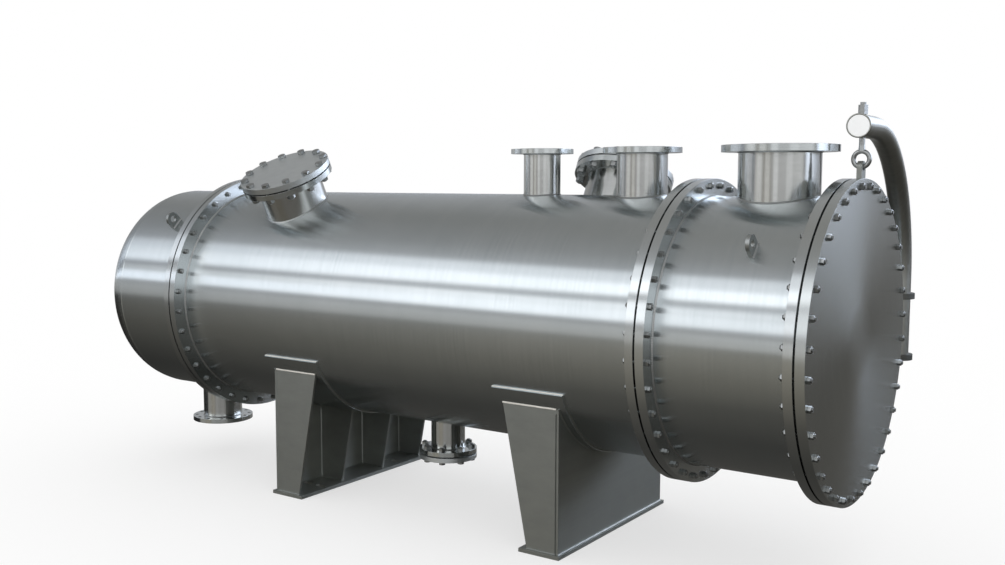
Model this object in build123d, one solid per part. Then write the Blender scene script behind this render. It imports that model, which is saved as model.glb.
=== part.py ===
from build123d import *
import math
import os

# A horizontal shell and tube heat exchanger on two saddles, with a flat
# channel cover that hangs from a davit and swings open.
#
# Frame: millimetres, +Z up, +X along the shell towards the channel cover,
# -Y towards the front. The origin is on the floor, at the middle of the bolt
# holes in the base of the saddle nearer the channel.

# Shell, bonnet and channel
SHELL_OD = 1124.0            # outside diameter of shell, bonnet and channel
SHELL_WALL = 12.0            # plate thickness of the three barrels
AXIS_HEIGHT = 945.0          # centre line of the shell above the floor
SADDLE_TO_CHANNEL = 503.0    # near saddle's bolts to the joint of shell and channel
SHELL_LENGTH = 2678.0        # between the mid planes of the shell's two joints
CHANNEL_LENGTH = 609.0       # between the mid planes of the channel's two joints
BONNET_SKIRT = 500.0         # straight length of the bonnet from its joint
HEAD_CROWN_RATIO = 0.8       # crown radius of the dished head, in diameters
HEAD_KNUCKLE_RATIO = 0.154   # knuckle radius of the dished head, in diameters

# Large bolted joints
BODY_FLANGE_REACH = 73.0     # from the barrel to the rim of its flange
BODY_FLANGE_THICK = 36.0
TUBESHEET_THICK = 36.0
COVER_THICK = 36.0
SEAL_FACE_INSET = 52.0       # raised sealing face inside the rim
SEAL_FACE_STEP = 3.0
BODY_GASKET_THICK = 2.0
BODY_GASKET_WIDTH = 14.0
BODY_BOLT_INSET = 28.0       # bolt circle inside the rim
BODY_BOLT_COUNT = 36
BODY_BOLT_HOLE = 23.0
WELD_RECESS = 4.0            # barrel and neck ends stop this far inside a face

# Nozzles: sealing face above the barrel, for open and for blinded ones
OPEN_NOZZLE_STANDOUT = 208.0
BLIND_NOZZLE_STANDOUT = 160.0
NOZZLE_SEAL_STEP = 2.0
NOZZLE_GASKET_THICK = 3.0

# Pipe sizes: neck outside diameter, wall, flange outside diameter and
# thickness, sealing face, bolt circle, bolt hole and bolt count
DN150_BOLT_COUNT = 8
DN200_BOLT_COUNT = 12
DN300_BOLT_COUNT = 12
DN150 = (168.3, 7.0, 285.0, 22.0, 212.0, 240.0, 22.0, DN150_BOLT_COUNT)
DN200 = (219.1, 8.0, 340.0, 24.0, 268.0, 295.0, 22.0, DN200_BOLT_COUNT)
DN300 = (323.9, 10.0, 460.0, 28.0, 378.0, 410.0, 26.0, DN300_BOLT_COUNT)

# Places of the nozzles along the shell
CHANNEL_NOZZLE_SHIFT = 7.5   # past the middle of the channel
SHELL_INLET_OFFSET = 296.0   # these four are measured from the channel's joint
REAR_HAND_OFFSET = 563.0
SHELL_VENT_OFFSET = 804.0
DRAIN_OFFSET = 1348.0
FRONT_HAND_OFFSET = 546.0    # and these two from the bonnet's joint
BONNET_NOZZLE_OFFSET = 332.0

# Lean of the nozzles from upright, positive towards the front
UPWARD_ANGLE = 0.0
DOWNWARD_ANGLE = 180.0
FRONT_HAND_ANGLE = 26.0
REAR_HAND_ANGLE = -28.0

# Saddles
SADDLE_SPACING = 1480.0
SADDLE_WRAP_ANGLE = 57.0     # half of the angle of shell that a saddle holds
BASE_OVERHANG = 15.0         # base past the outer ribs
BASE_TOE = 32.0              # base past the foot of the ribs
BASE_THICK = 16.0
SADDLE_PLATE = 12.0          # thickness of webs and ribs
WEB_SETBACK = 13.0           # web face to the edge of the base
RIB_TOP_REACH = 266.0        # reach of a rib from the web, at the shell
RIB_FOOT_REACH = 143.0       # reach of a rib from the web, at the base
INNER_RIB_Y = 160.0
WEAR_PLATE_THICK = 10.0
WEAR_PLATE_MARGIN = 36.0     # wear plate past the web and past the ribs' tips
WEAR_PLATE_WRAP_ANGLE = 64.5
FOOT_HOLE_SPACING_X = 90.0
FOOT_HOLE_SPACING_Y = 600.0
FOOT_HOLE = 28.0
FOOT_SLOT_LENGTH = 60.0

# Lifting eyes on the channel and on the bonnet
CHANNEL_EYE_OFFSET = 375.0   # from the channel's joint
BONNET_EYE_OFFSET = 207.0    # from the bonnet's joint
CHANNEL_EYE_ANGLE = 48.5
BONNET_EYE_ANGLE = 46.0
EYE_RADIUS = 36.0
EYE_HOLE = 36.0
EYE_THICK = 16.0
EYE_HEIGHT = 38.0            # centre of the hole above the barrel

# Davit
DAVIT_SETBACK = 17.0         # axis of the upright pipe behind the cover's joint
DAVIT_RIM_GAP = 162.0        # axis of the upright pipe beyond the flange's rim
DAVIT_PIPE_OD = 88.9
DAVIT_PIPE_WALL = 6.0
DAVIT_ARM_RISE = 125.0       # centre of the arm above the centre of the hanger's eye
DAVIT_BEND = 650.0
DAVIT_ARM_OVERRUN = 56.0     # arm past the hanger
DAVIT_CAP_THICK = 6.0
DAVIT_FOOT_DROP = 150.0      # lower bracket below the shell's centre line
UPPER_BRACKET_RISE = 100.0   # upper bracket above the shell's centre line
BRACKET_THICK = 25.0
BRACKET_MARGIN = 17.5        # bracket round the pipe
RUNNING_CLEARANCE = 0.4
PIVOT_PIN_HEIGHT = 60.0

# Hanger between the davit and the cover
HANGER_ROD = 22.0
HANGER_EYE_BAR = 18.0
HANGER_EYE_RADIUS = 30.0     # centre of the bar of the eye
HANGER_SHOULDER = 26.0       # forged shoulder between the eye and the rod
HANGER_SHOULDER_RISE = 24.0
HANGER_EYE_RISE = 73.0       # centre of the eye above the cover's rim
HANGER_NUT_WIDTH = 32.0
HANGER_NUT_HEIGHT = 36.0
HANGER_ROD_END = 10.0        # rod end above the nuts
LUG_THICK = 20.0
LUG_WIDTH = 50.0
LUG_HOLE = 26.0
LUG_ROOT = 50.0              # lug is let into the cover's edge from this far down
LINK_CLEARANCE = 0.3

# Sizes that follow from the ones above
SHELL_R = SHELL_OD / 2
BORE_R = SHELL_R - SHELL_WALL
BODY_FLANGE_R = SHELL_R + BODY_FLANGE_REACH
SEAL_FACE_R = BODY_FLANGE_R - SEAL_FACE_INSET
BODY_BOLT_CIRCLE = 2 * (BODY_FLANGE_R - BODY_BOLT_INSET)
HALF_GAP = SEAL_FACE_STEP + BODY_GASKET_THICK / 2
CHANNEL_JOINT_X = SADDLE_TO_CHANNEL
BONNET_JOINT_X = CHANNEL_JOINT_X - SHELL_LENGTH
COVER_JOINT_X = CHANNEL_JOINT_X + CHANNEL_LENGTH
COVER_MID_X = COVER_JOINT_X + HALF_GAP + COVER_THICK / 2
CHANNEL_NOZZLE_X = (CHANNEL_JOINT_X + COVER_JOINT_X) / 2 + CHANNEL_NOZZLE_SHIFT
OPEN_REACH = SHELL_R + OPEN_NOZZLE_STANDOUT
BLIND_REACH = SHELL_R + BLIND_NOZZLE_STANDOUT
WEAR_R = SHELL_R + WEAR_PLATE_THICK
SADDLE_HALF_WIDTH = WEAR_R * math.sin(math.radians(SADDLE_WRAP_ANGLE))
RIB_TOP_HEIGHT = AXIS_HEIGHT - WEAR_R * math.cos(math.radians(SADDLE_WRAP_ANGLE))
BASE_LENGTH = 2 * (SADDLE_HALF_WIDTH + BASE_OVERHANG)
BASE_WIDTH = WEB_SETBACK + SADDLE_PLATE + RIB_FOOT_REACH + BASE_TOE
WEAR_PLATE_WIDTH = RIB_TOP_REACH + SADDLE_PLATE + 2 * WEAR_PLATE_MARGIN
DAVIT_X = COVER_JOINT_X - DAVIT_SETBACK
DAVIT_Y = BODY_FLANGE_R + DAVIT_RIM_GAP
DAVIT_R = DAVIT_PIPE_OD / 2
HANGER_EYE_Z = AXIS_HEIGHT + BODY_FLANGE_R + HANGER_EYE_RISE
DAVIT_ARM_Z = HANGER_EYE_Z + DAVIT_ARM_RISE
DAVIT_FOOT_Z = AXIS_HEIGHT - DAVIT_FOOT_DROP

# Nozzles: place along the shell, lean, reach of the sealing face from the
# shell's centre line, and pipe size
CHANNEL_NOZZLE = (CHANNEL_NOZZLE_X, UPWARD_ANGLE, OPEN_REACH, DN300)
SHELL_INLET_NOZZLE = (CHANNEL_JOINT_X - SHELL_INLET_OFFSET, UPWARD_ANGLE, OPEN_REACH, DN200)
SHELL_VENT_NOZZLE = (CHANNEL_JOINT_X - SHELL_VENT_OFFSET, UPWARD_ANGLE, OPEN_REACH, DN150)
REAR_HAND_NOZZLE = (CHANNEL_JOINT_X - REAR_HAND_OFFSET, REAR_HAND_ANGLE, BLIND_REACH, DN300)
FRONT_HAND_NOZZLE = (BONNET_JOINT_X + FRONT_HAND_OFFSET, FRONT_HAND_ANGLE, BLIND_REACH, DN300)
DRAIN_NOZZLE = (CHANNEL_JOINT_X - DRAIN_OFFSET, DOWNWARD_ANGLE, BLIND_REACH, DN150)
BONNET_NOZZLE = (BONNET_JOINT_X - BONNET_NOZZLE_OFFSET, DOWNWARD_ANGLE, OPEN_REACH, DN200)


def along_x(x0, x1, radius, bore=0.0):
    """A cylinder or ring about the shell's centre line, from x0 to x1."""
    place = Location((x0, 0, AXIS_HEIGHT), (0, 90, 0))
    low = (Align.CENTER, Align.CENTER, Align.MIN)
    solid = Cylinder(radius, x1 - x0, align=low)
    if bore > 0:
        solid -= Cylinder(bore, x1 - x0, align=low)
    return place * solid


def upright(x, y, z0, z1, radius, bore=0.0):
    """A vertical cylinder or tube."""
    low = (Align.CENTER, Align.CENTER, Align.MIN)
    solid = Cylinder(radius, z1 - z0, align=low)
    if bore > 0:
        solid -= Cylinder(bore, z1 - z0, align=low)
    return Location((x, y, z0)) * solid


def block(x0, x1, y0, y1, z0, z1):
    """A box between two corners."""
    low = (Align.MIN, Align.MIN, Align.MIN)
    return Location((x0, y0, z0)) * Box(x1 - x0, y1 - y0, z1 - z0, align=low)


def bolt_holes(circle, count, diameter, depth):
    """Holes on a circle about local Z, straddling the local X axis."""
    low = (Align.CENTER, Align.CENTER, Align.MIN)
    step = 360.0 / count
    hole = Cylinder(diameter / 2, depth, align=low)
    return [
        Rot(0, 0, step * (i + 0.5)) * Location((circle / 2, 0, 0)) * hole
        for i in range(count)
    ]


def radial(x, lean):
    """Frame on the shell's centre line with local Z pointing outwards."""
    return Location((x, 0, AXIS_HEIGHT), (lean, 0, 0))


# Nozzles

def nozzle_bore(nozzle):
    """The hole that a nozzle needs in its barrel."""
    x, lean, reach, (od, wall, *rest) = nozzle
    low = (Align.CENTER, Align.CENTER, Align.MIN)
    return radial(x, lean) * Cylinder(od / 2 - wall, reach, align=low)


def nozzle_neck(nozzle):
    """A pipe neck that stands on the barrel and stops inside its flange."""
    x, lean, reach, (od, wall, *rest) = nozzle
    low = (Align.CENTER, Align.CENTER, Align.MIN)
    top = reach - WELD_RECESS
    tube = Cylinder(od / 2, top, align=low)
    tube -= Cylinder(od / 2 - wall, top, align=low)
    return radial(x, lean) * tube - along_x(x - od, x + od, SHELL_R)


def nozzle_flange(nozzle, drilled=True):
    """A ring flange with a raised sealing face, slipped on the neck."""
    x, lean, reach, (od, wall, flange_od, thick, seal, circle, hole, count) = nozzle
    low = (Align.CENTER, Align.CENTER, Align.MIN)
    base = reach - NOZZLE_SEAL_STEP - thick
    ring = Cylinder(flange_od / 2, thick, align=low)
    ring += Location((0, 0, thick)) * Cylinder(seal / 2, NOZZLE_SEAL_STEP, align=low)
    ring -= Cylinder(od / 2, thick + NOZZLE_SEAL_STEP, align=low)
    if drilled:
        ring -= bolt_holes(circle, count, hole, thick)
    return radial(x, lean) * Location((0, 0, base)) * ring


def nozzle_gasket(nozzle):
    """The gasket ring between a nozzle flange and its blind."""
    x, lean, reach, (od, wall, flange_od, thick, seal, *rest) = nozzle
    low = (Align.CENTER, Align.CENTER, Align.MIN)
    ring = Cylinder(seal / 2, NOZZLE_GASKET_THICK, align=low)
    ring -= Cylinder(od / 2, NOZZLE_GASKET_THICK, align=low)
    return radial(x, lean) * Location((0, 0, reach)) * ring


def nozzle_blind(nozzle):
    """A blind plate with a raised sealing face that closes a nozzle."""
    x, lean, reach, (od, wall, flange_od, thick, seal, *rest) = nozzle
    low = (Align.CENTER, Align.CENTER, Align.MIN)
    plate = Cylinder(seal / 2, NOZZLE_SEAL_STEP, align=low)
    plate += Location((0, 0, NOZZLE_SEAL_STEP)) * Cylinder(flange_od / 2, thick, align=low)
    base = reach + NOZZLE_GASKET_THICK
    return radial(x, lean) * Location((0, 0, base)) * plate


# Shell, bonnet and channel

def shell():
    x0 = BONNET_JOINT_X + HALF_GAP + TUBESHEET_THICK
    x1 = CHANNEL_JOINT_X - HALF_GAP - TUBESHEET_THICK
    barrel = along_x(x0, x1, SHELL_R, BORE_R)
    on_shell = (
        SHELL_INLET_NOZZLE,
        SHELL_VENT_NOZZLE,
        REAR_HAND_NOZZLE,
        FRONT_HAND_NOZZLE,
        DRAIN_NOZZLE,
    )
    for nozzle in on_shell:
        barrel -= nozzle_bore(nozzle)
    return barrel


def channel():
    x0 = CHANNEL_JOINT_X + HALF_GAP
    x1 = COVER_JOINT_X - HALF_GAP - WELD_RECESS
    return along_x(x0, x1, SHELL_R, BORE_R) - nozzle_bore(CHANNEL_NOZZLE)


def head_profile(radius, skirt_x0, tangent_x, offset):
    """Half section of skirt and dished head, moved inwards by offset."""
    crown = SHELL_OD * HEAD_CROWN_RATIO - offset
    knuckle = SHELL_OD * HEAD_KNUCKLE_RATIO - offset
    centre_r = SHELL_R - SHELL_OD * HEAD_KNUCKLE_RATIO
    crown_x = tangent_x + math.sqrt((crown - knuckle) ** 2 - centre_r ** 2)
    lean = math.atan2(crown_x - tangent_x, centre_r)
    meet = (tangent_x - knuckle * math.sin(lean), centre_r + knuckle * math.cos(lean))
    middle = (tangent_x - knuckle * math.sin(lean / 2), centre_r + knuckle * math.cos(lean / 2))
    half = (math.pi / 2 - lean) / 2
    crown_mid = (crown_x - crown * math.cos(half), crown * math.sin(half))
    pole = (crown_x - crown, 0)
    corner = (tangent_x, radius)
    start = (skirt_x0, radius)
    outline = Line((skirt_x0, 0), start)
    outline += Line(start, corner)
    outline += ThreePointArc(corner, middle, meet)
    outline += ThreePointArc(meet, crown_mid, pole)
    outline += Line(pole, (skirt_x0, 0))
    face = make_face(outline)
    turned = revolve(face, Axis.X, 360)
    return Location((0, 0, AXIS_HEIGHT)) * turned


def bonnet():
    x0 = BONNET_JOINT_X - HALF_GAP - WELD_RECESS
    tangent = BONNET_JOINT_X - BONNET_SKIRT
    outer = head_profile(SHELL_R, x0, tangent, 0.0)
    inner = head_profile(BORE_R, x0, tangent, SHELL_WALL)
    return outer - inner - nozzle_bore(BONNET_NOZZLE)


def body_ring(x_joint, side, drilled=False):
    """A flange ring on a barrel: side is +1 on the +X side of its joint."""
    face = x_joint + side * HALF_GAP
    root = face + side * BODY_FLANGE_THICK
    lip = face - side * SEAL_FACE_STEP
    ring = along_x(min(face, root), max(face, root), BODY_FLANGE_R, SHELL_R)
    seal = along_x(min(face, lip), max(face, lip), SEAL_FACE_R, SHELL_R)
    ring += seal
    if drilled:
        ring -= body_holes(min(face, root), BODY_FLANGE_THICK)
    return ring


def body_holes(x0, depth):
    """Bolt holes of a large joint, cut along the shell from x0."""
    place = Location((x0, 0, AXIS_HEIGHT), (0, 90, 0))
    holes = bolt_holes(BODY_BOLT_CIRCLE, BODY_BOLT_COUNT, BODY_BOLT_HOLE, depth)
    return [place * hole for hole in holes]


def body_plate(x_joint, side, thick, drilled=False):
    """A full plate on one side of a joint, with a raised sealing face."""
    face = x_joint + side * HALF_GAP
    root = face + side * thick
    lip = face - side * SEAL_FACE_STEP
    plate = along_x(min(face, root), max(face, root), BODY_FLANGE_R)
    plate += along_x(min(face, lip), max(face, lip), SEAL_FACE_R)
    if drilled:
        plate -= body_holes(min(face, root), thick)
    return plate


def body_gasket(x_joint):
    x0 = x_joint - BODY_GASKET_THICK / 2
    x1 = x_joint + BODY_GASKET_THICK / 2
    outer = SEAL_FACE_R
    return along_x(x0, x1, outer, outer - BODY_GASKET_WIDTH)


# Saddles: side is +1 for the saddle whose web faces +X

def saddle_base(x, side):
    base = block(
        x - BASE_WIDTH / 2, x + BASE_WIDTH / 2,
        -BASE_LENGTH / 2, BASE_LENGTH / 2,
        0, BASE_THICK,
    )
    low = (Align.CENTER, Align.CENTER, Align.MIN)
    for sx in (-1, 1):
        for sy in (-1, 1):
            spot = Location((x + sx * FOOT_HOLE_SPACING_X / 2, sy * FOOT_HOLE_SPACING_Y / 2, 0))
            if side > 0:
                base -= spot * Cylinder(FOOT_HOLE / 2, BASE_THICK, align=low)
            else:
                slot = extrude(SlotOverall(FOOT_SLOT_LENGTH, FOOT_HOLE), BASE_THICK)
                base -= spot * slot
    return base


def saddle_web(x, side):
    outer = x + side * (BASE_WIDTH / 2 - WEB_SETBACK)
    inner = outer - side * SADDLE_PLATE
    plate = block(
        min(outer, inner), max(outer, inner),
        -SADDLE_HALF_WIDTH, SADDLE_HALF_WIDTH,
        BASE_THICK, RIB_TOP_HEIGHT,
    )
    return plate - along_x(x - BASE_WIDTH, x + BASE_WIDTH, WEAR_R)


def saddle_rib(x, side, y0):
    """A tapered rib from the web towards the middle of the shell."""
    root = x + side * (BASE_WIDTH / 2 - WEB_SETBACK - SADDLE_PLATE)
    foot = root - side * RIB_FOOT_REACH
    tip = root - side * RIB_TOP_REACH
    corners = [
        (root, BASE_THICK),
        (foot, BASE_THICK),
        (tip, RIB_TOP_HEIGHT),
        (root, RIB_TOP_HEIGHT),
    ]
    face = Plane.XZ * make_face(Polyline(*corners, close=True))
    plate = extrude(face, -SADDLE_PLATE)
    plate = Location((0, y0, 0)) * plate
    return plate - along_x(x - 2 * BASE_WIDTH, x + 2 * BASE_WIDTH, WEAR_R)


def saddle_ribs(x, side):
    edge = SADDLE_HALF_WIDTH - SADDLE_PLATE
    starts = (
        -SADDLE_HALF_WIDTH,
        -INNER_RIB_Y - SADDLE_PLATE / 2,
        INNER_RIB_Y - SADDLE_PLATE / 2,
        edge,
    )
    return Compound(children=[saddle_rib(x, side, y) for y in starts])


def wear_plate(x, side):
    """A band between shell and saddle that reaches past the ribs' tips."""
    root = x + side * (BASE_WIDTH / 2 - WEB_SETBACK)
    end = root + side * WEAR_PLATE_MARGIN
    start = end - side * WEAR_PLATE_WIDTH
    band = along_x(min(start, end), max(start, end), WEAR_R, SHELL_R)
    low = 2 * WEAR_R
    reach = low * math.tan(math.radians(WEAR_PLATE_WRAP_ANGLE))
    sector = Polyline((0, 0), (-reach, -low), (reach, -low), close=True)
    wedge = extrude(Plane.YZ * make_face(sector), WEAR_PLATE_WIDTH)
    wedge = Location((min(start, end), 0, AXIS_HEIGHT)) * wedge
    return band & wedge


# Lifting eyes

def lifting_eye(x, lean):
    centre = SHELL_R + EYE_HEIGHT
    plate = Plane.YZ * (Pos(0, centre) * Circle(EYE_RADIUS))
    foot = Plane.YZ * (Pos(0, centre - EYE_HEIGHT) * Rectangle(2 * EYE_RADIUS, 2 * EYE_HEIGHT))
    hole = Plane.YZ * (Pos(0, centre) * Circle(EYE_HOLE / 2))
    solid = extrude(plate + foot, EYE_THICK / 2, both=True) - extrude(hole, EYE_THICK, both=True)
    solid = radial(x, lean) * solid
    return solid - along_x(x - EYE_THICK, x + EYE_THICK, SHELL_R)


def eye_pair(x, lean):
    return Compound(children=[lifting_eye(x, lean), lifting_eye(x, -lean)])


# Davit, hanger and cover

def davit_bracket(z0):
    """A plate on the rim of the channel's outer flange, round at its head."""
    rim_x1 = COVER_JOINT_X - HALF_GAP
    rim_x0 = rim_x1 - BODY_FLANGE_THICK
    head_r = DAVIT_R + BRACKET_MARGIN
    head = upright(DAVIT_X, DAVIT_Y, z0, z0 + BRACKET_THICK, head_r)
    neck = block(rim_x0, rim_x1, DAVIT_Y / 2, DAVIT_Y, z0, z0 + BRACKET_THICK)
    keep = along_x(rim_x0 - 2 * head_r, rim_x1 + 2 * head_r, BODY_FLANGE_R)
    return head + neck - keep


def upper_bracket():
    z0 = AXIS_HEIGHT + UPPER_BRACKET_RISE
    hole = upright(DAVIT_X, DAVIT_Y, z0, z0 + BRACKET_THICK, DAVIT_R + RUNNING_CLEARANCE)
    return davit_bracket(z0) - hole


def lower_bracket():
    top = DAVIT_FOOT_Z
    pin = DAVIT_R - DAVIT_PIPE_WALL - RUNNING_CLEARANCE
    plate = davit_bracket(top - BRACKET_THICK)
    return plate + upright(DAVIT_X, DAVIT_Y, top, top + PIVOT_PIN_HEIGHT, pin)


def arm_heading():
    """Horizontal direction from the upright pipe to the hanger."""
    dx = COVER_MID_X - DAVIT_X
    dy = -DAVIT_Y
    length = math.hypot(dx, dy)
    return dx / length, dy / length, length


def arm_path():
    ux, uy, length = arm_heading()
    foot = DAVIT_FOOT_Z
    top = DAVIT_ARM_Z
    reach = length + DAVIT_ARM_OVERRUN
    bend_start = (DAVIT_X, DAVIT_Y, top - DAVIT_BEND)
    bend_end = (DAVIT_X + ux * DAVIT_BEND, DAVIT_Y + uy * DAVIT_BEND, top)
    side = DAVIT_BEND * (1 - math.cos(math.pi / 4))
    rise = DAVIT_BEND * math.sin(math.pi / 4)
    middle = (DAVIT_X + ux * side, DAVIT_Y + uy * side, top - DAVIT_BEND + rise)
    end = (DAVIT_X + ux * reach, DAVIT_Y + uy * reach, top)
    path = Line((DAVIT_X, DAVIT_Y, foot), bend_start)
    path += ThreePointArc(bend_start, middle, bend_end)
    path += Line(bend_end, end)
    return path, end


def davit_arm():
    path, end = arm_path()
    foot = Plane((DAVIT_X, DAVIT_Y, DAVIT_FOOT_Z))
    ring = foot * (Circle(DAVIT_R) - Circle(DAVIT_R - DAVIT_PIPE_WALL))
    pipe = sweep(ring, path)
    top = DAVIT_ARM_Z
    rod_way = upright(COVER_MID_X, 0, top - DAVIT_PIPE_OD, top + DAVIT_PIPE_OD, HANGER_ROD / 2)
    return pipe - rod_way


def davit_cap():
    path, end = arm_path()
    ux, uy, length = arm_heading()
    face = Plane(origin=end, z_dir=(ux, uy, 0))
    return extrude(face * Circle(DAVIT_R), DAVIT_CAP_THICK)


def hanger():
    """A rod through the arm that ends in a round eye over the cover."""
    top = DAVIT_ARM_Z
    eye_z = HANGER_EYE_Z
    rod_top = top + DAVIT_R + HANGER_NUT_HEIGHT + HANGER_ROD_END
    rod = upright(COVER_MID_X, 0, eye_z + HANGER_EYE_RADIUS, rod_top, HANGER_ROD / 2)
    ring_plane = Plane(origin=(COVER_MID_X, 0, eye_z), x_dir=(1, 0, 0), z_dir=(0, 1, 0))
    ring = ring_plane * Torus(HANGER_EYE_RADIUS, HANGER_EYE_BAR / 2)
    low = (Align.CENTER, Align.CENTER, Align.MIN)
    flare = Cone(HANGER_SHOULDER / 2, HANGER_ROD / 2, HANGER_SHOULDER_RISE, align=low)
    shoulder = Location((COVER_MID_X, 0, eye_z + HANGER_EYE_RADIUS)) * flare
    return rod + ring + shoulder


def hanger_nut():
    z0 = DAVIT_ARM_Z + DAVIT_R
    flat = RegularPolygon(HANGER_NUT_WIDTH / 2, 6, major_radius=False)
    nut = Location((COVER_MID_X, 0, z0)) * extrude(flat, HANGER_NUT_HEIGHT)
    return nut - upright(COVER_MID_X, 0, z0, z0 + HANGER_NUT_HEIGHT, HANGER_ROD / 2)


def cover():
    return body_plate(COVER_JOINT_X, 1, COVER_THICK, drilled=True)


def cover_lug():
    """A lug on the cover's rim whose hole holds the eye of the hanger."""
    bar_top = math.sqrt((HANGER_EYE_RADIUS - HANGER_EYE_BAR / 2) ** 2 - (LUG_THICK / 2) ** 2)
    hole_z = HANGER_EYE_Z - bar_top + LINK_CLEARANCE - LUG_HOLE / 2
    x0 = COVER_MID_X - LUG_THICK / 2
    x1 = COVER_MID_X + LUG_THICK / 2
    rim_inside = AXIS_HEIGHT + BODY_FLANGE_R - LUG_ROOT
    body = block(x0, x1, -LUG_WIDTH / 2, LUG_WIDTH / 2, rim_inside, hole_z)
    across = Location((x0, 0, hole_z), (0, 90, 0))
    low = (Align.CENTER, Align.CENTER, Align.MIN)
    body += across * Cylinder(LUG_WIDTH / 2, LUG_THICK, align=low)
    body -= across * Cylinder(LUG_HOLE / 2, LUG_THICK, align=low)
    return body - along_x(x0, x1, BODY_FLANGE_R)


NEAR = 0.0
FAR = -SADDLE_SPACING

NODES = {
    "shell": shell(),
    "bonnet": bonnet(),
    "channel_barrel": channel(),
    "bonnet_tubesheet": body_plate(BONNET_JOINT_X, 1, TUBESHEET_THICK),
    "channel_tubesheet": body_plate(CHANNEL_JOINT_X, -1, TUBESHEET_THICK),
    "bonnet_flange": body_ring(BONNET_JOINT_X, -1),
    "channel_inner_flange": body_ring(CHANNEL_JOINT_X, 1),
    "channel_outer_flange": body_ring(COVER_JOINT_X, -1, drilled=True),
    "bonnet_gasket": body_gasket(BONNET_JOINT_X),
    "channel_gasket": body_gasket(CHANNEL_JOINT_X),
    "cover_gasket": body_gasket(COVER_JOINT_X),
    "channel_nozzle_neck": nozzle_neck(CHANNEL_NOZZLE),
    "channel_nozzle_flange": nozzle_flange(CHANNEL_NOZZLE),
    "shell_inlet_neck": nozzle_neck(SHELL_INLET_NOZZLE),
    "shell_inlet_flange": nozzle_flange(SHELL_INLET_NOZZLE),
    "shell_vent_neck": nozzle_neck(SHELL_VENT_NOZZLE),
    "shell_vent_flange": nozzle_flange(SHELL_VENT_NOZZLE),
    "rear_hand_nozzle_neck": nozzle_neck(REAR_HAND_NOZZLE),
    "rear_hand_nozzle_flange": nozzle_flange(REAR_HAND_NOZZLE, drilled=False),
    "rear_hand_nozzle_blind": nozzle_blind(REAR_HAND_NOZZLE),
    "front_hand_nozzle_neck": nozzle_neck(FRONT_HAND_NOZZLE),
    "front_hand_nozzle_flange": nozzle_flange(FRONT_HAND_NOZZLE, drilled=False),
    "front_hand_nozzle_blind": nozzle_blind(FRONT_HAND_NOZZLE),
    "drain_neck": nozzle_neck(DRAIN_NOZZLE),
    "drain_flange": nozzle_flange(DRAIN_NOZZLE, drilled=False),
    "drain_blind": nozzle_blind(DRAIN_NOZZLE),
    "blind_gaskets": Compound(children=[
        nozzle_gasket(REAR_HAND_NOZZLE),
        nozzle_gasket(FRONT_HAND_NOZZLE),
        nozzle_gasket(DRAIN_NOZZLE),
    ]),
    "bonnet_nozzle_neck": nozzle_neck(BONNET_NOZZLE),
    "bonnet_nozzle_flange": nozzle_flange(BONNET_NOZZLE),
    "near_saddle_base": saddle_base(NEAR, 1),
    "near_saddle_web": saddle_web(NEAR, 1),
    "near_saddle_ribs": saddle_ribs(NEAR, 1),
    "near_wear_plate": wear_plate(NEAR, 1),
    "far_saddle_base": saddle_base(FAR, -1),
    "far_saddle_web": saddle_web(FAR, -1),
    "far_saddle_ribs": saddle_ribs(FAR, -1),
    "far_wear_plate": wear_plate(FAR, -1),
    "channel_lifting_eyes": eye_pair(CHANNEL_JOINT_X + CHANNEL_EYE_OFFSET, CHANNEL_EYE_ANGLE),
    "bonnet_lifting_eyes": eye_pair(BONNET_JOINT_X - BONNET_EYE_OFFSET, BONNET_EYE_ANGLE),
    "davit_upper_bracket": upper_bracket(),
    "davit_lower_bracket": lower_bracket(),
    "davit_arm": davit_arm(),
    "davit_cap": davit_cap(),
    "hanger_eyebolt": hanger(),
    "hanger_nut": hanger_nut(),
    "channel_cover": cover(),
    "cover_lug": cover_lug(),
}

os.makedirs("parts", exist_ok=True)
for name, node in NODES.items():
    export_step(node, f"parts/{name}.step")
    print(name)
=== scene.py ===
# %% [markdown]
# # Dressing a shell and tube heat exchanger
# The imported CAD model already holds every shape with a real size. This lesson gives those shapes
# their metal, adds what a CAD model leaves out (studs, nuts, weld beads, tube ends) and sets up the
# studio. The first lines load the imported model. Its nodes stay where they are, in metres, +Z up.

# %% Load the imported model
import math
import random

import bpy
import numpy as np
from mathutils import Matrix, Vector


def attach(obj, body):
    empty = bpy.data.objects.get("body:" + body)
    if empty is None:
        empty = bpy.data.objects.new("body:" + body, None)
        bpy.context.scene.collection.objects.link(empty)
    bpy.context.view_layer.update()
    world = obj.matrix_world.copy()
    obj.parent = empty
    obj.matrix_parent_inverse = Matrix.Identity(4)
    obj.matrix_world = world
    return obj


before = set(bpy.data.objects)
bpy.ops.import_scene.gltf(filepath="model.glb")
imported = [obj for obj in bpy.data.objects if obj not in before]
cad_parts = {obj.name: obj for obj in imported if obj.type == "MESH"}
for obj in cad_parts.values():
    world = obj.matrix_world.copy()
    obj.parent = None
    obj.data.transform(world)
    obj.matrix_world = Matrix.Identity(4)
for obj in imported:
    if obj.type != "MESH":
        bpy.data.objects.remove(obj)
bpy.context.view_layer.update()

# %% [markdown]
# ## Sizes that the pieces share
# A bolt has to sit on its bolt circle and a weld on its seam, so the numbers below repeat the CAD
# model's own, in millimetres. X runs along the shell, and the shell's middle line is at AXIS_Z.
# The nuts of a body joint sit SEAT away from the joint's middle. A nozzle is given by its x, by its
# lean, which is the angle from straight up towards the front (-Y), by how far its flange face is
# from the shell's middle line, and by its pipe.

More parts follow.
